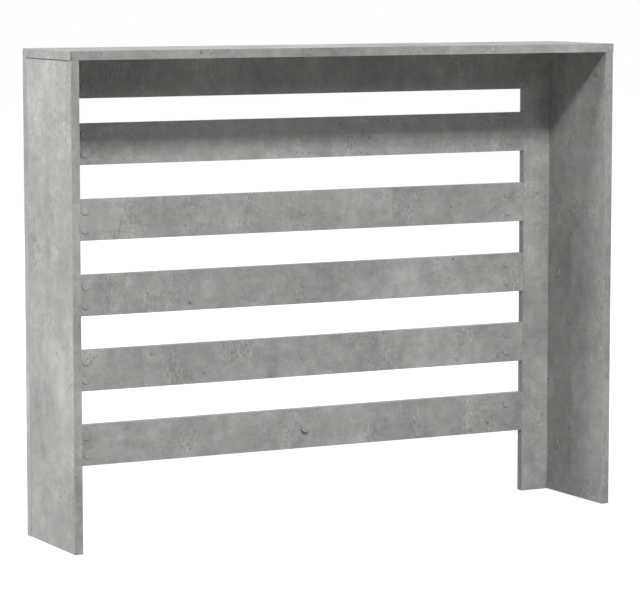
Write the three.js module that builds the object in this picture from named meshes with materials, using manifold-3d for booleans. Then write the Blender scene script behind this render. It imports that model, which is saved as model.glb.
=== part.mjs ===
// A radiator cover cabinet: a top panel on two side panels, with six slats between two stiles
// across the front. The back and the bottom are open, and the cover stands around a radiator.
// The boards are held together by cam connectors, and each cam has a cover cap.
//
// Millimetres, +Z up. The origin is on the floor, under the middle of the cover. The slatted
// front faces -Y and the open back faces +Y, so left and right are as seen from the front.

import * as THREE from "three";
import { mergeVertices } from "three/addons/utils/BufferGeometryUtils.js";
import Module from "manifold-3d";

// ---------------------------------------------------------------- Driving dimensions

const WIDTH = 1040; // along the top panel
const DEPTH = 200; // from the slatted front to the open back
const HEIGHT = 822; // from the floor to the upper face of the top panel
const BOARD = 15; // thickness of every board
const SIDE_INSET = 1; // the side panels stand in this far from the top panel's ends
const STILE_WIDTH = 70;
const REBATE_HEIGHT = 1.2; // along a side panel's upper outer edge, a dark line under the top panel
const REBATE_DEPTH = 2.5;
const REBATE_STOP = 1.5; // it stops this far short of the open back

const SLAT_COUNT = 6;
const SLAT_HEIGHT = 70;
const FIRST_GAP = 42; // between slats 1 and 2; the gaps below it share what height is left
const FLOOR_GAP = 113; // clear height under the lowest slat

const CLEARANCE = 0.3; // between a fitting and its hole, and under a cap's head

const CAM_DIAMETER = 12; // bore of a cam
const CAM_PAST_BOLT = 3.5; // how far a cam's bore goes on past the axis of its bolt
const CAM_SETBACK = 34; // from the end of a board to the middle of its cam
const CAP_DIAMETER = 15;
const CAP_HEAD = 1.2; // thickness of a cover cap's head
const CAP_CHAMFER = 0.4;

const THREAD_DIAMETER = 5;
const THREAD_LENGTH = 11;
const THREAD_END_ROOM = 0.5; // the pilot hole is this much deeper than the thread
const SHANK_DIAMETER = 7;
const NECK_DIAMETER = 3.5;
const BOLT_HEAD_DIAMETER = 5.6;
const BOLT_HEAD_LENGTH = 4;

const SLAT_CAM_SPACING = 32; // between the two cams at one end of a slat
const STILE_CAM_FROM_END = 88; // from a side panel's end to its outer stile connectors
const TOP_CAM_FROM_EDGE = 28; // from a side panel's long edges to its top connectors

const PLUG_DIAMETER = 14; // head of the cap plug at mid-width of a slat
const PLUG_STEM_DIAMETER = 8;
const PLUG_STEM_LENGTH = 8;
const PLUG_HOLE_DEPTH = 9;
const PLUG_HEAD = 0.9;
const LOWEST_PLUG_OUT = 4.1; // the plug of the lowest slat is not pushed home
const FIRST_PLUGGED_SLAT = 2;

const CAM_SIDES = 24; // facets round a cam, a cap or a plug
const BOLT_SIDES = 8; // facets round a bolt or its hole

// ---------------------------------------------------------------- Sizes that follow

const PANEL_TOP = HEIGHT - BOARD; // where the uprights end and the top panel lies
const FRONT = -DEPTH / 2;
const BACK = DEPTH / 2;
const BEHIND_STILE = FRONT + BOARD; // back face of the stiles and slats
const SIDE_DEPTH = BACK - BEHIND_STILE;
const SIDE_MIDDLE = WIDTH / 2 - SIDE_INSET - BOARD / 2; // x of a side panel's mid-thickness
const SLAT_END = WIDTH / 2 - STILE_WIDTH; // x where a slat meets its stile
const LOWER_GAPS = SLAT_COUNT - 2;
const SLAT_GAP =
  (PANEL_TOP - FLOOR_GAP - FIRST_GAP - SLAT_COUNT * SLAT_HEIGHT) / LOWER_GAPS;
const SLAT_PITCH = SLAT_HEIGHT + SLAT_GAP;
const LOWEST_SLAT_MIDDLE = FLOOR_GAP + SLAT_HEIGHT / 2;
const OVERSHOOT = 1; // a cutter starts this far outside the face it cuts

const SIDES = { left: -1, right: 1 };
const UP = new THREE.Vector3(0, 0, 1);

// Height of the middle of a slat. Slats are numbered from the top.
function slatMiddle(number) {
  if (number === 1) return PANEL_TOP - SLAT_HEIGHT / 2;
  return LOWEST_SLAT_MIDDLE + (SLAT_COUNT - number) * SLAT_PITCH;
}

// ---------------------------------------------------------------- Materials

const decor = new THREE.MeshStandardMaterial({ color: 0x9c9c98, roughness: 0.6, metalness: 0 });
const capPlastic = new THREE.MeshStandardMaterial({ color: 0x9b9b97, roughness: 0.45, metalness: 0 });
const zinc = new THREE.MeshStandardMaterial({ color: 0xb4b6b8, roughness: 0.35, metalness: 1 });
for (const material of [decor, capPlastic, zinc]) material.flatShading = true;

// ---------------------------------------------------------------- Solids

const wasm = await Module();
wasm.setup();

function solidOf(geometry) {
  const bare = geometry.clone();
  bare.deleteAttribute("normal");
  bare.deleteAttribute("uv");
  const merged = mergeVertices(bare, 1e-4);
  return new wasm.Manifold(
    new wasm.Mesh({
      numProp: 3,
      vertProperties: merged.attributes.position.array,
      triVerts: new Uint32Array(merged.index.array),
    }),
  );
}

function geometryOf(solid) {
  const mesh = solid.getMesh();
  const geometry = new THREE.BufferGeometry();
  geometry.setAttribute("position", new THREE.BufferAttribute(mesh.vertProperties, 3));
  geometry.setIndex(new THREE.BufferAttribute(mesh.triVerts, 1));
  return geometry;
}

// A closed shape turned about the Z axis, from [radius, height] points that start and end on it.
function turned(points, sides) {
  const profile = points.map(([radius, height]) => new THREE.Vector2(radius, height));
  return new THREE.LatheGeometry(profile, sides).rotateX(Math.PI / 2);
}

// A round bar along Z, from height low to height high.
function bar(diameter, low, high, sides) {
  return turned([[0, low], [diameter / 2, low], [diameter / 2, high], [0, high]], sides);
}

// Turns a shape that lies along Z to lie along X.
const alongX = (geometry) => geometry.rotateY(Math.PI / 2);

// ---------------------------------------------------------------- Connector
//
// In a connector's own frame the bolt lies along X and crosses the joint at X = 0. Its thread
// points to -X, into the other board. The cam's axis is parallel to Z, and its cap is at +Z.

const FACE = BOARD / 2; // the face that the cam is bored into

function boltGeometry() {
  const thread = THREAD_DIAMETER / 2;
  const shank = SHANK_DIAMETER / 2;
  const neck = NECK_DIAMETER / 2;
  const head = BOLT_HEAD_DIAMETER / 2;
  const shankEnd = CAM_SETBACK - CAM_DIAMETER / 2 - CLEARANCE;
  const headStart = CAM_SETBACK - BOLT_HEAD_LENGTH / 2;
  const headEnd = CAM_SETBACK + BOLT_HEAD_LENGTH / 2;
  return alongX(turned([
    [0, -THREAD_LENGTH], [thread, -THREAD_LENGTH], [thread, CLEARANCE], [shank, CLEARANCE],
    [shank, shankEnd], [neck, shankEnd], [neck, headStart], [head, headStart],
    [head, headEnd], [0, headEnd],
  ], BOLT_SIDES));
}

// The cam's drum with the cover cap that is pressed onto it.
function camGeometry() {
  const drum = CAM_DIAMETER / 2 - CLEARANCE;
  const cap = CAP_DIAMETER / 2;
  const under = FACE + CLEARANCE;
  const top = under + CAP_HEAD;
  return turned([
    [0, CLEARANCE - CAM_PAST_BOLT], [drum, CLEARANCE - CAM_PAST_BOLT], [drum, under],
    [cap, under], [cap, top - CAP_CHAMFER], [cap - CAP_CHAMFER, top], [0, top],
  ], CAM_SIDES).translate(CAM_SETBACK, 0, 0);
}

// The pocket in a cam that the bolt's neck and head slide into, open below and towards the bolt.
function camPocketGeometry() {
  const start = CAM_SETBACK - CAM_DIAMETER / 2 - OVERSHOOT;
  const end = CAM_SETBACK + BOLT_HEAD_LENGTH / 2 + CLEARANCE;
  const low = -CAM_PAST_BOLT - OVERSHOOT;
  const high = BOLT_HEAD_DIAMETER / 2 + CLEARANCE;
  const across = BOLT_HEAD_DIAMETER + 2 * CLEARANCE;
  return new THREE.BoxGeometry(end - start, across, high - low)
    .translate((start + end) / 2, 0, (low + high) / 2);
}

function camBoreGeometry() {
  return bar(CAM_DIAMETER, -CAM_PAST_BOLT, FACE + OVERSHOOT, CAM_SIDES).translate(CAM_SETBACK, 0, 0);
}

function boltBoreGeometry() {
  return alongX(bar(SHANK_DIAMETER + 2 * CLEARANCE, -OVERSHOOT, CAM_SETBACK, BOLT_SIDES));
}

function pilotHoleGeometry() {
  const deep = THREAD_LENGTH + THREAD_END_ROOM;
  return alongX(bar(THREAD_DIAMETER + 2 * CLEARANCE, -deep, OVERSHOOT, BOLT_SIDES));
}

// ---------------------------------------------------------------- Cap plug
//
// In a plug's own frame the board's face is the plane Z = 0, and the plug's head is at +Z.

function plugGeometry(out) {
  const stem = PLUG_STEM_DIAMETER / 2 - CLEARANCE;
  const radius = PLUG_DIAMETER / 2;
  const top = CLEARANCE + PLUG_HEAD;
  return turned([
    [0, -PLUG_STEM_LENGTH], [stem, -PLUG_STEM_LENGTH], [stem, CLEARANCE], [radius, CLEARANCE],
    [radius, top - CAP_CHAMFER], [radius - CAP_CHAMFER, top], [0, top],
  ], CAM_SIDES).translate(0, 0, out);
}

function plugHoleGeometry() {
  return bar(PLUG_STEM_DIAMETER, -PLUG_HOLE_DEPTH, OVERSHOOT, CAM_SIDES);
}

// ---------------------------------------------------------------- Where the fittings go

// A place whose X axis points along x and whose Z axis points along z.
function place(point, x, z) {
  const y = new THREE.Vector3().crossVectors(z, x);
  return new THREE.Matrix4().makeBasis(x, y, z).setPosition(point);
}

const vector = (x, y, z) => new THREE.Vector3(x, y, z);
const backwards = vector(0, 1, 0);

const connectors = []; // { name, at, camBoard, boltBoard, joined }
const plugs = []; // { name, at, board, out }

for (let number = 1; number <= SLAT_COUNT; number++) {
  const board = `slat_${number}`;
  const middle = slatMiddle(number);
  for (const [side, sign] of Object.entries(SIDES)) {
    for (const [level, step] of [["upper", 0.5], ["lower", -0.5]]) {
      const point = vector(
        sign * SLAT_END, BEHIND_STILE - BOARD / 2, middle + step * SLAT_CAM_SPACING);
      connectors.push({
        name: `${board}_connector_${side}_${level}`,
        at: place(point, vector(-sign, 0, 0), backwards),
        camBoard: board,
        boltBoard: `stile_${side}`,
        joined: true,
      });
    }
  }
  if (number >= FIRST_PLUGGED_SLAT) {
    plugs.push({
      name: `slat_${number}_centre_plug`,
      at: place(vector(0, BEHIND_STILE, middle), UP, backwards),
      board,
      out: number === SLAT_COUNT ? LOWEST_PLUG_OUT : 0,
    });
  }
}

for (const [side, sign] of Object.entries(SIDES)) {
  const inwards = vector(-sign, 0, 0);
  const stileLevels = {
    lower: STILE_CAM_FROM_END,
    middle: PANEL_TOP / 2,
    upper: PANEL_TOP - STILE_CAM_FROM_END,
  };
  for (const [level, height] of Object.entries(stileLevels)) {
    connectors.push({
      name: `stile_joint_${side}_${level}`,
      at: place(vector(sign * SIDE_MIDDLE, BEHIND_STILE, height), backwards, inwards),
      camBoard: `side_panel_${side}`,
      boltBoard: `stile_${side}`,
      joined: false,
    });
  }
  const topPlaces = {
    front: BEHIND_STILE + TOP_CAM_FROM_EDGE,
    back: BACK - TOP_CAM_FROM_EDGE,
  };
  for (const [end, depth] of Object.entries(topPlaces)) {
    connectors.push({
      name: `top_joint_${side}_${end}`,
      at: place(vector(sign * SIDE_MIDDLE, depth, PANEL_TOP), vector(0, 0, -1), inwards),
      camBoard: `side_panel_${side}`,
      boltBoard: "top_panel",
      joined: false,
    });
  }
}

// ---------------------------------------------------------------- Boards

// The rebate along the upper outer edge of the side panel on this side, -1 left or 1 right.
function rebateGeometry(sign) {
  const deep = REBATE_DEPTH + OVERSHOOT;
  const long = SIDE_DEPTH - REBATE_STOP + OVERSHOOT;
  const high = REBATE_HEIGHT + OVERSHOOT;
  return new THREE.BoxGeometry(deep, long, high).translate(
    sign * (WIDTH / 2 - SIDE_INSET - REBATE_DEPTH + deep / 2),
    BACK - REBATE_STOP - long / 2,
    PANEL_TOP - REBATE_HEIGHT + high / 2,
  );
}

// Everything that is cut out of a board, as solids in the cabinet's frame.
function cuttersOf(board) {
  const shapes = [];
  for (const { at, camBoard, boltBoard } of connectors) {
    if (camBoard === board) {
      shapes.push(camBoreGeometry().applyMatrix4(at));
      shapes.push(boltBoreGeometry().applyMatrix4(at));
    }
    if (boltBoard === board) shapes.push(pilotHoleGeometry().applyMatrix4(at));
  }
  for (const plug of plugs) {
    if (plug.board === board) shapes.push(plugHoleGeometry().applyMatrix4(plug.at));
  }
  for (const [side, sign] of Object.entries(SIDES)) {
    if (board === `side_panel_${side}`) shapes.push(rebateGeometry(sign));
  }
  return shapes;
}

function board(name, size, centre) {
  let solid = solidOf(new THREE.BoxGeometry(...size));
  for (const cutter of cuttersOf(name)) {
    solid = solid.subtract(solidOf(cutter.translate(-centre[0], -centre[1], -centre[2])));
  }
  const mesh = new THREE.Mesh(geometryOf(solid), decor);
  mesh.name = name;
  mesh.position.set(...centre);
  return mesh;
}

const boards = new THREE.Group();
boards.add(board("top_panel", [WIDTH, DEPTH, BOARD], [0, 0, PANEL_TOP + BOARD / 2]));
for (const [side, sign] of Object.entries(SIDES)) {
  boards.add(board(
    `side_panel_${side}`,
    [BOARD, SIDE_DEPTH, PANEL_TOP],
    [sign * SIDE_MIDDLE, (BEHIND_STILE + BACK) / 2, PANEL_TOP / 2],
  ));
  boards.add(board(
    `stile_${side}`,
    [STILE_WIDTH, BOARD, PANEL_TOP],
    [sign * (WIDTH - STILE_WIDTH) / 2, FRONT + BOARD / 2, PANEL_TOP / 2],
  ));
}
for (let number = 1; number <= SLAT_COUNT; number++) {
  boards.add(board(
    `slat_${number}`,
    [2 * SLAT_END, BOARD, SLAT_HEIGHT],
    [0, FRONT + BOARD / 2, slatMiddle(number)],
  ));
}

// ---------------------------------------------------------------- Fittings

function fitting(name, geometry, material, at) {
  const mesh = new THREE.Mesh(geometry, material);
  mesh.name = name;
  mesh.applyMatrix4(at);
  return mesh;
}

const fittings = new THREE.Group();
for (const { name, at, joined } of connectors) {
  const cam = solidOf(camGeometry());
  const bolt = solidOf(boltGeometry());
  if (joined) {
    fittings.add(fitting(name, geometryOf(cam.add(bolt)), capPlastic, at));
  } else {
    const pocketed = cam.subtract(solidOf(camPocketGeometry()));
    fittings.add(fitting(`${name}_cam`, geometryOf(pocketed), capPlastic, at));
    fittings.add(fitting(`${name}_bolt`, geometryOf(bolt), zinc, at));
  }
}
for (const { name, at, out } of plugs) {
  fittings.add(fitting(name, plugGeometry(out), capPlastic, at));
}

const cabinet = new THREE.Group();
cabinet.name = "radiator_cover_cabinet";
cabinet.add(boards, fittings);

export default cabinet;
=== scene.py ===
# %% [markdown]
# # A radiator cover cabinet in concrete-look board
# A radiator cover hides a radiator behind slats and gives the wall a shelf. This one comes as
# flat boards: a top panel, two side panels, two stiles and six slats, pulled together by cam
# connectors. The view is from its open back, the side that stands against the wall.
#
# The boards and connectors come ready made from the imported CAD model, in metres, with the origin
# on the floor under the middle of the cover, the slats at -Y and +Z up. Blender adds what a part
# needs to look real: finishes, soft edges, light and a camera. The model is loaded first, because
# everything else takes its place from it.

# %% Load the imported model
import math

import bpy
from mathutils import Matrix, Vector


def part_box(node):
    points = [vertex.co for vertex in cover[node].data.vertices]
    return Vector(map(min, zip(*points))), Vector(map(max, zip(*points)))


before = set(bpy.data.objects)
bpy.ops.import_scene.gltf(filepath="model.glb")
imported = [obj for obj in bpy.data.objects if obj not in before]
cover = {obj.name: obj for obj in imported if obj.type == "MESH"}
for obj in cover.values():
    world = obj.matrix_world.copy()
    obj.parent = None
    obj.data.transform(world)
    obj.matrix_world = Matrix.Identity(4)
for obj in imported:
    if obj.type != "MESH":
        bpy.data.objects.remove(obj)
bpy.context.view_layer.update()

# %% [markdown]
# ## Sorting the pieces
# The CAD names say what each piece is. The boards carry the printed decor. A slat's connector is
# one piece of cam, cover cap and bolt, and so are a plug and its stem. The connectors of the side
# panels come as a cam with its cap, and a bolt. Sorting them by name keeps every later cell short.

# %% Sort the pieces by kind
BOARDS = ["top_panel", "side_panel_left", "side_panel_right", "stile_left", "stile_right",
          *(f"slat_{number}" for number in range(1, 7))]
BOLTS = [name for name in cover if name.endswith("_bolt")]
CAPPED = [name for name in cover if name not in BOARDS and name not in BOLTS]
print(f"{len(BOARDS)} boards, {len(CAPPED)} capped fittings, {len(BOLTS)} bolts")

# %% [markdown]
# ## The camera
# The photograph looks at the open back from the cover's right-hand end, a little from above,
# through a long lens. Its place was worked out from the slats' edges, which give the direction of
# the view and the distance. A long lens keeps the boards nearly parallel, as they are there.

# %% Place the camera at the photograph's angle
CAMERA_PLACE = Vector((2.4436, 4.6064, 0.9585))
CAMERA_TURN = 0.4855  # radians, from straight behind the cover towards its right-hand end
CAMERA_TILT = 0.1098  # radians, down
CAMERA_LENS = 170.6  # mm, on a 36 mm sensor

camera = bpy.data.objects.new("camera", bpy.data.cameras.new("camera"))
camera.data.lens = CAMERA_LENS
camera.location = CAMERA_PLACE
looking = Vector((-math.sin(CAMERA_TURN) * math.cos(CAMERA_TILT),
                  -math.cos(CAMERA_TURN) * math.cos(CAMERA_TILT), -math.sin(CAMERA_TILT)))
camera.rotation_euler = looking.to_track_quat("-Z", "Y").to_euler()
bpy.context.scene.collection.objects.link(camera)
bpy.context.scene.camera = camera
print(f"camera {CAMERA_PLACE.length:.2f} m from the origin, {CAMERA_LENS} mm lens")

# %% [markdown]
# ## Colours
# A colour picker shows sRGB, and a shader works in linear light. One function turns the hex of
# the first into the second, so that every colour below can be written as it looks.

# %% Turn a hex colour to linear light
def linear(hex_colour):
    """The linear red, green, blue and alpha of an sRGB hex colour such as #a3a3a1."""
    levels = [int(hex_colour[i:i + 2], 16) / 255 for i in (1, 3, 5)]
    return (*(level / 12.92 if level <= 0.04045 else ((level + 0.055) / 1.055) ** 2.4
              for level in levels), 1.0)


print("mid grey of the decor in linear light:", [round(x, 3) for x in linear("#a3a3a1")])

# %% [markdown]
# ## One helper for every node
# A shader is a chain of nodes, and adding one takes the same three steps each time: make it, set
# it, and feed its sockets. This helper does those steps. A socket is fed by a number, or by
# another node's output, which makes a link.

# %% Add a node with its settings and links
def add(tree, kind, feeds=None, **settings):
    """A new node of a kind such as Math, with its settings, and its sockets set or linked."""
    node = tree.nodes.new("ShaderNode" + kind)
    for name, value in settings.items():
        setattr(node, name, value)
    for key, value in (feeds or {}).items():
        if isinstance(value, bpy.types.NodeSocket):
            tree.links.new(value, node.inputs[key])
        else:
            node.inputs[key].default_value = value
    return node


def new_finish(name):
    """A material with an empty tree, and that tree."""
    finish = bpy.data.materials.new(name)
    finish.use_nodes = True
    finish.node_tree.nodes.clear()
    return finish, finish.node_tree


print("a node is added with add(tree, kind, feeds, settings)")

# %% [markdown]
# ## Concrete-look melamine: where the print lies on a board
# The boards are melamine-faced chipboard. A paper printed with a photograph of concrete is soaked
# in melamine resin and pressed onto the chips under a matt steel plate, which leaves a hard, dull,
# very faintly grained face. The print is flat, so its pattern is colour and not relief.
#
# The print is a flat sheet, so its pattern is made in two directions: across it and along it. On
# the slats the sheet's long direction stands upright, as on the stiles. On an edge band the
# board's thickness stands in for the direction that the edge has lost. Each board was cut from
# another place on the sheet, so each has its own start.

# %% Lay the sheet on a board, in millimetres
MILLIMETRE = 0.001  # in metres, Blender's unit here
PER_METRE = (1 / MILLIMETRE, 1 / MILLIMETRE, 0)
AXES = {"x": (1, 0, 0), "y": (0, 1, 0), "z": (0, 0, 1)}


def sheet_coordinates(tree, across, along, through, start):
    """Millimetres across and along the printed sheet, and where the faces are rather than edges."""
    place = add(tree, "TexCoord").outputs["Object"]
    normal = add(tree, "NewGeometry").outputs["True Normal"]
    facing = add(tree, "VectorMath", {0: normal}, operation="ABSOLUTE").outputs[0]
    depth = add(tree, "VectorMath", {0: place, 1: AXES[through]}, operation="DOT_PRODUCT")
    wrapped = add(tree, "VectorMath", {0: facing, "Scale": depth.outputs["Value"]},
                  operation="SCALE")
    whole = add(tree, "VectorMath", {0: place, 1: wrapped.outputs[0]}, operation="ADD")
    parts = add(tree, "SeparateXYZ", {0: whole.outputs[0]})
    sheet = add(tree, "CombineXYZ", {"X": parts.outputs[across.upper()],
                                     "Y": parts.outputs[along.upper()]})
    cut = add(tree, "VectorMath", {0: sheet.outputs[0], 1: PER_METRE, 2: (*start, 0)},
              operation="MULTIPLY_ADD")
    face = add(tree, "VectorMath", {0: facing, 1: AXES[through]}, operation="DOT_PRODUCT")
    return cut.outputs[0], face.outputs["Value"]


print("the print is laid out in millimetres")

# %% [markdown]
# ## Concrete-look melamine: the tone of the print
# Cast concrete is never one grey. Cement settles in soft clouds a hand or two wide, with blotches
# and a fine mottle within them. Where the form was worked, its wood leaves short strokes and thin
# upright lines. Each of these is a noise, sized in millimetres from what it is on the real sheet,
# and they are added one after another. The tone runs from 0, the darkest ink, over 0.5, the plain
# grey, to 1, the palest.

# %% Sizes of the print's patterns
EVEN_PATTERNS = {  # millimetres across and along the sheet, detail, roughness, bending, amount
    "settled clouds": (230, 260, 1, 0.5, 0.2, 0.40),
    "blotches": (54, 88, 2, 0.55, 0.3, 0.27),
    "mottle": (25, 21, 4, 0.70, 0.3, 0.41),
    # the real grain is near 0.5 mm, and less than a pixel wouldn't show, so it is drawn coarser
    "grain": (2.8, 2.4, 0, 0.5, 0.0, 0.14),
}
WORKED_PATTERNS = {  # the same, for what shows only where the form was worked
    "form lines": (3.4, 90, 2, 0.6, 0.4, 0.24),
    "form strokes": (4.4, 8, 2, 0.65, 0.4, 0.58),
}
WORKED_PATCH = (80, 104, 3, 0.5, 0.4, 1.0)  # the same, for where it was worked
WORKED_EDGES = (0.0, 0.18)  # of that noise: where the form's marks begin to show, and where fully
WORKED_LEAST = 0.10  # how much of them shows everywhere else
print(len(EVEN_PATTERNS), "patterns everywhere,", len(WORKED_PATTERNS), "where the form was worked")


# %% Add up the tone of the print
def pattern(tree, sheet, across, along, detail, roughness, bending, amount):
    """A noise of this size on the sheet, around 0, this strong."""
    place = add(tree, "VectorMath", {0: sheet, 1: (1 / across, 1 / along, 0)},
                operation="MULTIPLY")
    noise = add(tree, "TexNoise", {"Vector": place.outputs[0], "Scale": 1.0, "Detail": detail,
                                   "Roughness": roughness, "Distortion": bending},
                noise_dimensions="2D")
    return add(tree, "Math", {0: noise.outputs[0], 1: amount, 2: -amount / 2},
               operation="MULTIPLY_ADD").outputs[0]


def concrete_tone(tree, sheet):
    """The tone of the print at a place on the sheet."""
    wear = pattern(tree, sheet, *WORKED_PATCH)
    least, most = WORKED_EDGES
    worked = add(tree, "MapRange", {"Value": wear, "From Min": least, "From Max": most,
                                    "To Min": WORKED_LEAST}, interpolation_type="SMOOTHSTEP").outputs[0]
    tone = 0.5
    for sizes in EVEN_PATTERNS.values():
        tone = add(tree, "Math", {0: pattern(tree, sheet, *sizes), 1: tone}).outputs[0]
    for sizes in WORKED_PATTERNS.values():
        tone = add(tree, "Math", {0: pattern(tree, sheet, *sizes), 1: worked, 2: tone},
                   operation="MULTIPLY_ADD").outputs[0]
    return tone


print("the tone adds up around 0.5")

# %% [markdown]
# ## Concrete-look melamine: the form's boards
# Concrete is cast against boards, and each leaves its own faint tone, between nearly straight
# upright borders. A cell pattern, stretched along the sheet, gives fields like that. A little noise
# bends their borders, and another lets the fields show only in places.

# %% Shade the fields of the form's boards
FORM_BOARD = (64, 420)  # millimetres across and along
FIELD_SHADE = 0.15
FIELD_SCATTER = 0.9  # 0 would give boards of one width
BORDER_SOFTNESS = 0.06
BORDER_BEND = (3.0, 3.0, 0)  # millimetres
BORDER_WAVES = 0.12  # per millimetre
FIELD_PATCH = (110, 60, 2, 0.5, 0.3, 1.0)  # where the fields show, laid out as the patterns above
FIELD_EDGES = (-0.08, 0.14)  # of that noise


def form_boards(tree, sheet):
    """How much paler or darker the field of one form board is than its neighbours."""
    bend = add(tree, "TexNoise", {"Vector": sheet, "Scale": BORDER_WAVES, "Detail": 2},
               noise_dimensions="2D").outputs["Color"]
    bent = add(tree, "VectorMath", {0: bend, 1: BORDER_BEND, 2: sheet},
               operation="MULTIPLY_ADD").outputs[0]
    place = add(tree, "VectorMath", {0: bent, 1: (1 / FORM_BOARD[0], 1 / FORM_BOARD[1], 0)},
                operation="MULTIPLY").outputs[0]
    fields = add(tree, "TexVoronoi", {"Vector": place, "Scale": 1.0,
                                      "Randomness": FIELD_SCATTER, "Smoothness": BORDER_SOFTNESS},
                 voronoi_dimensions="2D", feature="SMOOTH_F1")
    shade = add(tree, "SeparateColor", {0: fields.outputs["Color"]}).outputs[0]
    around = add(tree, "Math", {0: shade, 1: 0.5}, operation="SUBTRACT").outputs[0]
    least, most = FIELD_EDGES
    clear = add(tree, "MapRange", {"Value": pattern(tree, sheet, *FIELD_PATCH),
                                   "From Min": least, "From Max": most, "To Max": FIELD_SHADE},
                interpolation_type="SMOOTHSTEP").outputs[0]
    return add(tree, "Math", {0: around, 1: clear}, operation="MULTIPLY").outputs[0]


print("form boards", FORM_BOARD[0], "mm wide")

# %% [markdown]
# ## Concrete-look melamine: where air left a mark
# Air leaves marks in concrete: a single pit here and there, swarms of small pores, and a ring
# where a bubble lay just under the skin. All three are spots round the points of a cell pattern.
# Each point draws a chance, which says whether there is a spot, and how wide it is. A little noise
# shakes the sheet first, so that no outline is a perfect circle.

# %% Find the points that may carry a spot
OUTLINE_SHAKE = (2.4, 2.4, 0)  # millimetres
OUTLINE_WAVES = 0.35  # per millimetre


def shaken_sheet(tree, sheet):
    """The sheet, pushed to and fro a little, which makes every outline on it uneven."""
    wobble = add(tree, "TexNoise", {"Vector": sheet, "Scale": OUTLINE_WAVES, "Detail": 1},
                 noise_dimensions="2D").outputs["Color"]
    return add(tree, "VectorMath", {0: wobble, 1: OUTLINE_SHAKE, 2: sheet},
               operation="MULTIPLY_ADD").outputs[0]


def spot_points(tree, sheet, spacing, stretch=1.0):
    """How far the nearest point is, in millimetres, and two chances that the point draws."""
    place = add(tree, "VectorMath", {0: sheet, 1: (1 / spacing, 1 / spacing / stretch, 0)},
                operation="MULTIPLY").outputs[0]
    cells = add(tree, "TexVoronoi", {"Vector": place, "Scale": 1.0}, voronoi_dimensions="2D")
    chances = add(tree, "SeparateColor", {0: cells.outputs["Color"]})
    far = add(tree, "Math", {0: cells.outputs["Distance"], 1: spacing}, operation="MULTIPLY")
    return far.outputs[0], chances.outputs[0], chances.outputs[1]


print("outlines shaken by", OUTLINE_SHAKE[0], "mm at most")

# %% [markdown]
# ## Concrete-look melamine: pits and pores
# A pit is a hole a few millimetres wide, and dark because light hardly gets in. Pores are smaller
# and closer, and they gather in swarms, as froth does. In both, a luckier point gets a bigger spot,
# and a point with too little luck gets none.

# %% Sink pits and pores
PIT_SPACING = 75  # millimetres between the points that may carry a pit
PIT_LUCK = 0.35  # a point with less carries none
PIT_RADII = (0.8, 4.6)  # millimetres to where the pit has faded
PIT_CORE = 0.3  # millimetres from the middle, as dark as the pit gets

PORE_SPACING = 6.4  # millimetres
PORE_STRETCH = 1.3  # the points lie this much further apart along the sheet
PORE_LUCK = 0.15
PORE_RADII = (0.0, 3.4)  # millimetres
SWARM_PATCH = (90, 90, 3, 0.6, 0.4, 1.0)  # where pores gather, laid out as the patterns above
SWARM_EDGES = (0.06, 0.17)  # of that noise


def pits(tree, shaken):
    """1 in the middle of a pit, down to 0 outside."""
    far, chance, _ = spot_points(tree, shaken, PIT_SPACING)
    least, most = PIT_RADII
    radius = add(tree, "MapRange", {"Value": chance, "From Min": PIT_LUCK, "From Max": 1.0,
                                    "To Min": least, "To Max": most}).outputs[0]
    there = add(tree, "Math", {0: chance, 1: PIT_LUCK}, operation="GREATER_THAN").outputs[0]
    return add(tree, "MapRange", {"Value": far, "From Min": radius, "From Max": PIT_CORE,
                                  "To Max": there}, interpolation_type="SMOOTHSTEP").outputs[0]


def pores(tree, shaken, sheet):
    """The same for pores, and how much of a swarm there is round about."""
    far, chance, _ = spot_points(tree, shaken, PORE_SPACING, PORE_STRETCH)
    least, most = SWARM_EDGES
    swarm = add(tree, "MapRange", {"Value": pattern(tree, sheet, *SWARM_PATCH),
                                   "From Min": least, "From Max": most},
                interpolation_type="SMOOTHSTEP").outputs[0]
    luck = add(tree, "Math", {0: chance, 1: swarm}, operation="MULTIPLY").outputs[0]
    least, most = PORE_RADII
    radius = add(tree, "MapRange", {"Value": luck, "From Min": PORE_LUCK, "From Max": 1.0,
                                    "To Min": least, "To Max": most}).outputs[0]
    pore = add(tree, "MapRange", {"Value": far, "From Min": radius, "From Max": 0.0},
               interpolation_type="SMOOTHSTEP").outputs[0]
    return pore, swarm


print("pits every", PIT_SPACING, "mm or so, pores in swarms every", PORE_SPACING, "mm")

# %% [markdown]
# ## Concrete-look melamine: rings, and all the marks together
# A bubble just under the skin leaves a thin ring, broken here and there. It is drawn where the
# distance from a point is near the ring's radius. Then the marks are added to the tone: pits,
# pores and rings take ink from it, and the ground of a swarm is a touch paler.

# %% Draw rings and add up the marks
RING_SPACING = 150  # millimetres
RING_LUCK = 0.5
RING_RADII = (2.8, 6.0)  # millimetres
RING_LINE = 1.7  # millimetres from the middle of the line to where it has faded
RING_BREAKS = (5, 5, 1, 0.5, 0.0, 1.0)  # where a ring is broken, laid out as the patterns above
BREAK_EDGES = (-0.12, 0.12)  # of that noise
MARK_TONES = {"pit": -0.36, "pore": -0.30, "ring": -0.18, "swarm": 0.04}


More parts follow.
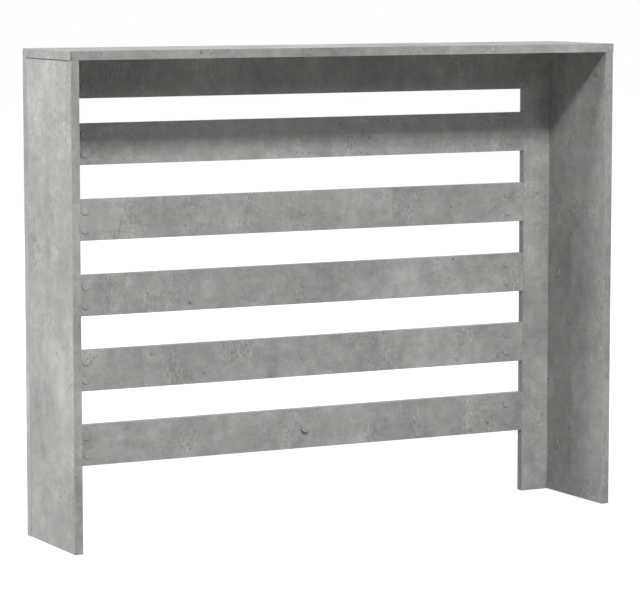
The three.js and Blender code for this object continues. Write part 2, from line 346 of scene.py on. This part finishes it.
def rings(tree, shaken, sheet):
    """1 on the line of a ring, down to 0 beside it and where it is broken."""
    far, chance, other = spot_points(tree, shaken, RING_SPACING)
    least, most = RING_RADII
    radius = add(tree, "MapRange", {"Value": other, "To Min": least, "To Max": most}).outputs[0]
    away = add(tree, "Math", {0: far, 1: radius}, operation="SUBTRACT").outputs[0]
    rim = add(tree, "Math", {0: away}, operation="ABSOLUTE").outputs[0]
    least, most = BREAK_EDGES
    broken = add(tree, "MapRange", {"Value": pattern(tree, sheet, *RING_BREAKS),
                                    "From Min": least, "From Max": most}).outputs[0]
    ring = add(tree, "MapRange", {"Value": rim, "From Min": RING_LINE, "From Max": 0.0,
                                  "To Max": broken}, interpolation_type="SMOOTHSTEP").outputs[0]
    shown = add(tree, "Math", {0: chance, 1: RING_LUCK}, operation="GREATER_THAN").outputs[0]
    return add(tree, "Math", {0: ring, 1: shown}, operation="MULTIPLY").outputs[0]


def air_marks(tree, sheet):
    """The tone that pits, pores, rings and the pale ground of a swarm add to the print."""
    shaken = shaken_sheet(tree, sheet)
    pore, swarm = pores(tree, shaken, sheet)
    marks = {"pit": pits(tree, shaken), "pore": pore, "ring": rings(tree, shaken, sheet),
             "swarm": swarm}
    added = 0.0
    for mark, strength in marks.items():
        added = add(tree, "Math", {0: strength, 1: MARK_TONES[mark], 2: added},
                    operation="MULTIPLY_ADD").outputs[0]
    return added


print("marks:", MARK_TONES)

# %% [markdown]
# ## Concrete-look melamine: ink, resin and press plate
# The inks run from charcoal to pale grey, and each is a hair warmer than a neutral grey. Melamine
# resin is a clear hard plastic with an IOR near 1.5. The matt steel plate that pressed it gives a
# roughness near 0.55, a little lower on the darker ink, and a relief of a few hundredths of a
# millimetre. To the eye that is a dull, dry face that only shines at a low angle, as on the top
# panel. The edge bands are printed from the same paper and come out a shade darker.

# %% Make the finish of one board
PLAIN_GREY = "#a3a3a1"
INKS = {0.0: "#636361", 0.25: "#838381", 0.5: PLAIN_GREY, 0.75: "#c3c3c1", 1.0: "#e3e3e1"}
MELAMINE_IOR = 1.5
MELAMINE_ROUGHNESS = (0.50, 0.60)  # on the darker and on the paler ink
DARKER_PALER = (0.3, 0.7)  # tones
EDGE_BAND_SHADE = -0.045
FACE_TO_EDGE = (0.9, 0.6)  # how squarely a point faces out of the board, on a face and on an edge
PLATE_GRAIN = 1.1  # millimetres
PLATE_DEPTH = 0.04 * MILLIMETRE
PLATE_STRENGTH = 0.15


def printed_paper(tree, across, along, through, start):
    """The sheet's coordinates, its tone and its colour at every place."""
    sheet, face = sheet_coordinates(tree, across, along, through, start)
    tone = concrete_tone(tree, sheet)
    on_face, on_edge = FACE_TO_EDGE
    band = add(tree, "MapRange", {"Value": face, "From Min": on_face, "From Max": on_edge,
                                  "To Max": EDGE_BAND_SHADE}).outputs[0]
    for change in (form_boards(tree, sheet), air_marks(tree, sheet), band):
        tone = add(tree, "Math", {0: tone, 1: change}).outputs[0]
    inks = add(tree, "ValToRGB", {0: tone})
    ramp = inks.color_ramp
    while len(ramp.elements) < len(INKS):
        ramp.elements.new(0.5)
    for stop, (at, ink) in zip(ramp.elements, INKS.items()):
        stop.position, stop.color = at, linear(ink)
    return sheet, tone, inks.outputs[0]


def concrete_melamine(name, cut):
    """Melamine-faced board with a concrete print, cut from its own place on the sheet."""
    finish, tree = new_finish(name)
    sheet, tone, colour = printed_paper(tree, *cut)
    (darker, paler), (lowest, highest) = DARKER_PALER, MELAMINE_ROUGHNESS
    shine = add(tree, "MapRange", {"Value": tone, "From Min": darker, "From Max": paler,
                                   "To Min": lowest, "To Max": highest}).outputs[0]
    plate = add(tree, "TexNoise", {"Vector": sheet, "Scale": 1 / PLATE_GRAIN, "Detail": 2},
                noise_dimensions="2D").outputs[0]
    relief = add(tree, "Bump", {"Height": plate, "Strength": PLATE_STRENGTH,
                                "Distance": PLATE_DEPTH})
    board = add(tree, "BsdfPrincipled", {"Base Color": colour, "Roughness": shine,
                                         "IOR": MELAMINE_IOR, "Normal": relief.outputs[0]})
    add(tree, "OutputMaterial", {0: board.outputs[0]})
    return finish


print(len(INKS), "inks from", INKS[0.0], "to", INKS[1.0])

# %% [markdown]
# ## Cutting the boards
# A saw takes each board from another place on a big printed panel. The decor's long direction
# stands upright in the stiles and the side panels. It stands upright in the slats too, so there it
# runs across the board, and in the top panel it runs from front to back. Each cut below names the
# directions across and along the sheet, the direction through the board, and where on the sheet
# the cut starts, in millimetres. The starts were picked so that each board comes out about as pale
# as in the photograph.

# %% Give each board its own cut of the print
CUTS = {
    "top_panel": ("x", "y", "z", (310, 4200)),
    "side_panel_left": ("y", "z", "x", (1730, 260)),
    "side_panel_right": ("y", "z", "x", (2890, 1410)),
    "stile_left": ("x", "z", "y", (4100, 770)),
    "stile_right": ("x", "z", "y", (5230, 1990)),
    "slat_1": ("x", "z", "y", (6410, 330)),
    "slat_2": ("x", "z", "y", (7720, 2480)),
    "slat_3": ("x", "z", "y", (9130, 910)),
    "slat_4": ("x", "z", "y", (10500, 3800)),
    "slat_5": ("x", "z", "y", (12300, 2000)),
    "slat_6": ("x", "z", "y", (14400, 1700)),
}
for board, cut in CUTS.items():
    cover[board].data.materials[0] = concrete_melamine(f"concrete_melamine_{board}", cut)
print(len(CUTS), "boards finished")

# %% [markdown]
# ## Edges that a hand could run along
# A machine trims the edge bands after gluing and leaves a tiny round on every corner, about half
# a millimetre. Without it each corner would be a perfect knife edge, which never catches the
# light. The CAD boards stay as they are, and two modifiers round them: one joins the corners that
# the file stores once per face, the other rounds every edge that turns by more than 60 degrees.

# %% Round the boards' corners
CORNER_ROUND = 0.5 * MILLIMETRE
SAME_CORNER = 0.001 * MILLIMETRE  # corners nearer than this are one
ROUND_FROM = math.radians(60)
for board in BOARDS:
    join = cover[board].modifiers.new("join corners", "WELD")
    join.merge_threshold = SAME_CORNER
    trim = cover[board].modifiers.new("trimmed edge", "BEVEL")
    trim.width = CORNER_ROUND
    trim.segments = 2
    trim.limit_method = "ANGLE"
    trim.angle_limit = ROUND_FROM
    trim.use_clamp_overlap = False
print(f"corners rounded by {CORNER_ROUND / MILLIMETRE:.1f} mm")

# %% [markdown]
# ## Cover caps and plugs: printed ABS on die-cast zinc
# A cover cap hides each cam, and a plug closes each hole at mid-width. Both are moulded in ABS, a
# tough opaque plastic with an IOR near 1.5, and faced with the boards' own print. Their greys match
# the board around them so well that little more than a rim shows. The skin is a bit smoother than
# the board's, with a fine grain from the spark-eroded mould, which gives it a soft sheen.
#
# The CAD joins a cap to its cam, and a slat's bolt too. One finish serves them both: what stands in
# front of the board's face is the cap, and what lies deeper is die-cast zinc, a dull grey metal with
# a cloudy skin that froze first against the mould. The cap takes its print from its own board's
# cut, so each board that carries caps has one such finish.

# %% Make the finish of one board's caps
SPARK_GRAIN = 1.0  # millimetres; the real grain is near 0.1, drawn coarser so that some of it shows
SPARK_DEPTH = 0.1 * MILLIMETRE
SPARK_STRENGTH = 0.2
CAP_ROUGHNESS = (0.42, 0.52)
ZINC_FLOW = 3.5  # millimetres
ZINC_GREYS = {0.35: "#a2a4a6", 0.65: "#b9bbbc"}


def cap_on_cam(name, cut, face):
    """Printed ABS in front of a board's face, and zinc that lies deeper than the face."""
    finish, tree = new_finish(name)
    _, _, printed = printed_paper(tree, *cut)
    place = add(tree, "TexCoord").outputs["Object"]
    grain, flow = (add(tree, "TexNoise", {"Vector": place, "Scale": 1 / (size * MILLIMETRE),
                                          "Detail": 2}).outputs[0]
                   for size in (SPARK_GRAIN, ZINC_FLOW))
    metal = add(tree, "ValToRGB", {0: flow})
    for stop, (at, grey) in zip(metal.color_ramp.elements, ZINC_GREYS.items()):
        stop.position, stop.color = at, linear(grey)

    _, _, through, _ = cut
    along = add(tree, "VectorMath", {0: place, 1: AXES[through]}, operation="DOT_PRODUCT")
    depth = add(tree, "Math", {0: along.outputs["Value"]}, operation="ABSOLUTE").outputs[0]
    deeper = add(tree, "Math", {0: depth, 1: face}, operation="GREATER_THAN").outputs[0]
    colour = add(tree, "Mix", {0: deeper, 6: printed, 7: metal.outputs[0]}, data_type="RGBA")
    lowest, highest = CAP_ROUGHNESS
    shine = add(tree, "MapRange", {"Value": grain, "To Min": lowest, "To Max": highest}).outputs[0]
    relief = add(tree, "Bump", {"Height": grain, "Strength": SPARK_STRENGTH,
                                "Distance": SPARK_DEPTH})
    shader = add(tree, "BsdfPrincipled", {"Base Color": colour.outputs[2], "Roughness": shine,
                                          "Metallic": deeper, "Normal": relief.outputs[0]})
    add(tree, "OutputMaterial", {0: shader.outputs[0]})
    return finish


print("caps printed as their boards, roughness", CAP_ROUGHNESS)

# %% [markdown]
# ## Which cap belongs to which board
# The name of each fitting tells its board. The place of the board's face comes from the CAD model,
# so that the finish changes from print to zinc exactly there.

# %% Give every cap and plug the finish of its board
SLAT_FACE = -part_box("slat_1")[1][1]  # metres from the middle of the cover to the slats' back faces
SIDE_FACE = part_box("side_panel_right")[0][0]  # and to the side panels' inner faces
capped_boards = {}
for name in CAPPED:
    side = "left" if "_left" in name else "right"
    kind, number, *_ = name.split("_")
    board = f"slat_{number}" if kind == "slat" else f"side_panel_{side}"
    capped_boards.setdefault(board, []).append(name)
for board, names in capped_boards.items():
    face = SLAT_FACE if board.startswith("slat") else SIDE_FACE
    finish = cap_on_cam(f"printed_cap_{board}", CUTS[board], face)
    for name in names:
        cover[name].data.materials[0] = finish
print({board: len(names) for board, names in capped_boards.items()})

# %% [markdown]
# ## Bolts: zinc-plated steel
# The bolts are turned steel, plated with zinc in a barrel. The bath leaves a bright grey skin, a
# little cloudy and here and there bluish, with a roughness near 0.35.

# %% Plate the bolts
PLATED_GREYS = ("#b4b8bc", "#d2d2cc")
PLATED_ROUGHNESS = (0.25, 0.45)
BATH_CLOUD = 1.4  # millimetres

bolt_steel, tree = new_finish("zinc_plated_steel")
place = add(tree, "TexCoord").outputs["Object"]
cloud = add(tree, "TexNoise", {"Vector": place, "Scale": 1 / (BATH_CLOUD * MILLIMETRE),
                               "Detail": 3}).outputs[0]
lowest, highest = PLATED_ROUGHNESS
matt = add(tree, "MapRange", {"Value": cloud, "To Min": lowest, "To Max": highest}).outputs[0]
tint = add(tree, "ValToRGB", {0: cloud})
for stop, grey in zip(tint.color_ramp.elements, PLATED_GREYS):
    stop.color = linear(grey)
steel = add(tree, "BsdfPrincipled", {"Base Color": tint.outputs[0], "Roughness": matt,
                                     "Metallic": 1.0})
add(tree, "OutputMaterial", {0: steel.outputs[0]})
for name in BOLTS:
    cover[name].data.materials[0] = bolt_steel
print(len(BOLTS), "bolts plated")

# %% [markdown]
# ## The studio: a floor that looks white
# The photograph shows the cover on plain white. With enough light any pale floor turns white, but
# so would the boards. The floor is therefore a mid grey that glows, and it glows only for a ray
# that comes straight from the camera, or from a reflection. A glow of 1 is white. Every other ray
# meets the plain grey, and that is what comes back up onto the cover. Near the cover the glow is
# a little under 1, so that the deepest part of the shadow still shows.

# %% Tell what is seen from what only gets light
def seen_directly(tree):
    """1 for a ray from the camera, a reflection or clear glass, and 0 for a ray of bounced light."""
    ray = add(tree, "LightPath")
    seen = add(tree, "Math", {0: ray.outputs["Is Camera Ray"], 1: ray.outputs["Is Glossy Ray"]},
               operation="MAXIMUM").outputs[0]
    return add(tree, "Math", {0: seen, 1: ray.outputs["Is Transmission Ray"]},
               operation="MAXIMUM").outputs[0]


print("camera, glossy and transmission rays see the white studio")

# %% Lay the floor
FLOOR_SIDE = 30  # metres
FLOOR_GREY = "#7e7e7c"
NEAR_GLOW = 0.92
GLOW_REACH = (1.0, 3.0)  # metres from the middle: the near glow up to the first, white past the second

half = FLOOR_SIDE / 2
floor_mesh = bpy.data.meshes.new("floor")
floor_mesh.from_pydata([(-half, -half, 0), (half, -half, 0), (half, half, 0), (-half, half, 0)],
                       [], [(0, 1, 2, 3)])
floor = bpy.data.objects.new("floor", floor_mesh)
bpy.context.scene.collection.objects.link(floor)

floor_finish, tree = new_finish("pale_floor")
place = add(tree, "TexCoord").outputs["Object"]
away = add(tree, "VectorMath", {0: place}, operation="LENGTH").outputs["Value"]
near, far = GLOW_REACH
white = add(tree, "MapRange", {"Value": away, "From Min": near, "From Max": far,
                               "To Min": NEAR_GLOW}).outputs[0]
matt = add(tree, "BsdfDiffuse", {"Color": linear(FLOOR_GREY)})
glow = add(tree, "Emission", {"Color": (1, 1, 1, 1), "Strength": white})
lit = add(tree, "AddShader", {0: matt.outputs[0], 1: glow.outputs[0]})
shown = add(tree, "MixShader", {0: seen_directly(tree), 1: matt.outputs[0], 2: lit.outputs[0]})
add(tree, "OutputMaterial", {0: shown.outputs[0]})
floor_mesh.materials.append(floor_finish)
print(f"floor {FLOOR_SIDE} m square")

# %% [markdown]
# ## The studio: the room around
# The world is white to the eye in the same way. As a light it is only a trace, about what the
# walls of a dark studio throw back, which keeps the deepest shadows from turning black.

# %% Surround the cover with white
AMBIENT = 0.03
world = bpy.data.worlds.new("studio")
bpy.context.scene.world = world
world.use_nodes = True
tree = world.node_tree
tree.nodes.clear()
strength = add(tree, "MapRange", {"Value": seen_directly(tree), "To Min": AMBIENT}).outputs[0]
sky = add(tree, "Background", {"Color": (1, 1, 1, 1), "Strength": strength})
add(tree, "OutputWorld", {0: sky.outputs[0]})
print("the world lights the cover at", AMBIENT)

# %% [markdown]
# ## The studio: five soft boxes
# A soft box is a big lit sheet. Its width in the sky, seen from the cover, decides how soft a
# shadow's border is, and its distance keeps the light even from one end of the cover to the
# other. Each is placed by its direction from the middle of the cover, and its strength is given as
# a level: how bright it makes a white surface that faces it. Blender wants watts, so the helper
# works them out: they grow with the square of the distance.
#
# The key light stands high behind the cover. It throws the top panel's shadow over the upper two
# slats, and slantwise down the inside of the side panel. The end light brightens the outside of the
# right-hand side panel, the brightest face in the photograph. The far-end and front lights do the
# same for the sides that the photograph doesn't show. The front light stands square to the slats,
# so that what passes between them misses the inner faces. A weak light, low behind the cover,
# fills the key light's shadow.
#
# The boxes themselves are hidden from reflections. Otherwise each one, seen across the cover at a
# low angle, would lay a glare over the whole top panel and wash the print out. What the boards and
# caps mirror is the white room.

# %% Hang the soft boxes
MIDDLE = Vector((0, 0, 0.41))  # metres, half-way up the cover
SOFT_BOXES = {  # direction from the middle, distance, width and height in metres, level
    "key_light": ((0.215, 0.742, 0.675), 8.0, 0.95, 0.88, 0.80),
    "end_light": ((1.0, 0.016, 0.45), 6.0, 1.02, 1.6, 0.76),
    "far_end_light": ((-1.0, -0.15, 0.15), 5.0, 2.0, 1.4, 0.50),
    "front_light": ((-0.02, -1.0, 0.3), 6.0, 0.8, 1.6, 0.60),
    "low_back_light": ((-0.2, 1.0, 0.42), 6.0, 1.6, 0.8, 0.10),
}


def soft_box(name, direction, distance, width, height, level):
    """A soft box that gives a white surface that faces it, at the middle, that brightness."""
    lamp = bpy.data.objects.new(name, bpy.data.lights.new(name, "AREA"))
    lamp.data.shape = "RECTANGLE"
    lamp.data.size, lamp.data.size_y = width, height
    lamp.data.energy = level * math.pi ** 2 * distance ** 2
    toward = Vector(direction).normalized()
    lamp.location = MIDDLE + toward * distance
    lamp.rotation_euler = (-toward).to_track_quat("-Z", "Y").to_euler()
    lamp.visible_camera = False
    lamp.visible_glossy = False
    bpy.context.scene.collection.objects.link(lamp)
    return lamp


watts = {name: round(soft_box(name, *box).data.energy) for name, box in SOFT_BOXES.items()}
print("watts:", watts)

# %% [markdown]
# ## Colours as they are written
# Blender's usual view bends bright and strong colours, as film does. Standard leaves them alone,
# so a grey that is picked from the photograph and lit at a level near 1 comes out as that grey.

# %% Show colours as they are written
bpy.context.scene.view_settings.view_transform = "Standard"
print("view:", bpy.context.scene.view_settings.view_transform)
